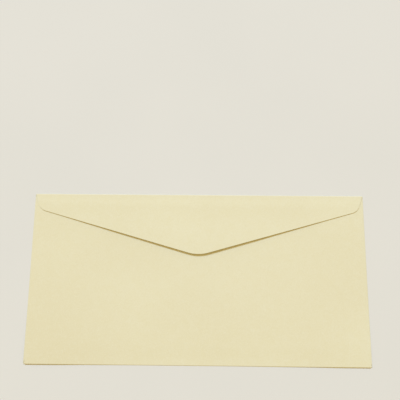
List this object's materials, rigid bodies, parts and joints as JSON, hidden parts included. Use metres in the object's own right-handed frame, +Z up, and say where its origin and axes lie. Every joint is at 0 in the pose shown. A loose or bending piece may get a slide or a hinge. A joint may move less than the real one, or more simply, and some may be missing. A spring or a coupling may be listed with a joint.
{
  "type": "gummed envelope",
  "caption": "Flat rectangular letter envelope with a creased pointed seal flap, glued side seams, an empty pocket and a band of dried gum inside the flap.",
  "frame": {"origin": "under the middle of the closed envelope, on the surface it rests on", "axes": "+X along the length, +Y towards the top crease that the flap turns on, +Z up from the address face towards the flap side"},
  "size_m": [0.22, 0.11, 0.0018],
  "materials": {
    "paper": "matte",
    "seal_gum": "gloss",
    "seam_gum": "satin"
  },
  "bodies": {
    "pocket": {"front_panel": "paper", "back_panel": "paper", "left_side_flap": "paper", "right_side_flap": "paper", "left_seam_gum": "seam_gum", "right_seam_gum": "seam_gum", "bottom_fold": "paper", "left_side_fold": "paper", "right_side_fold": "paper", "top_fold_front": "paper"},
    "flap": {"top_fold_flap": "paper", "seal_flap": "paper", "seal_gum": "seal_gum"}
  },
  "joints": [
    {"name": "flap_crease", "type": "hinge", "parent": "pocket", "child": "flap", "pos_m": [0, 0.055, 0.00046], "axis": [-1, 0, 0], "range_deg": [-1.3, 177.4], "stiffness_Nm_per_rad": 0.005, "springref_deg": 0.86}
  ]
}
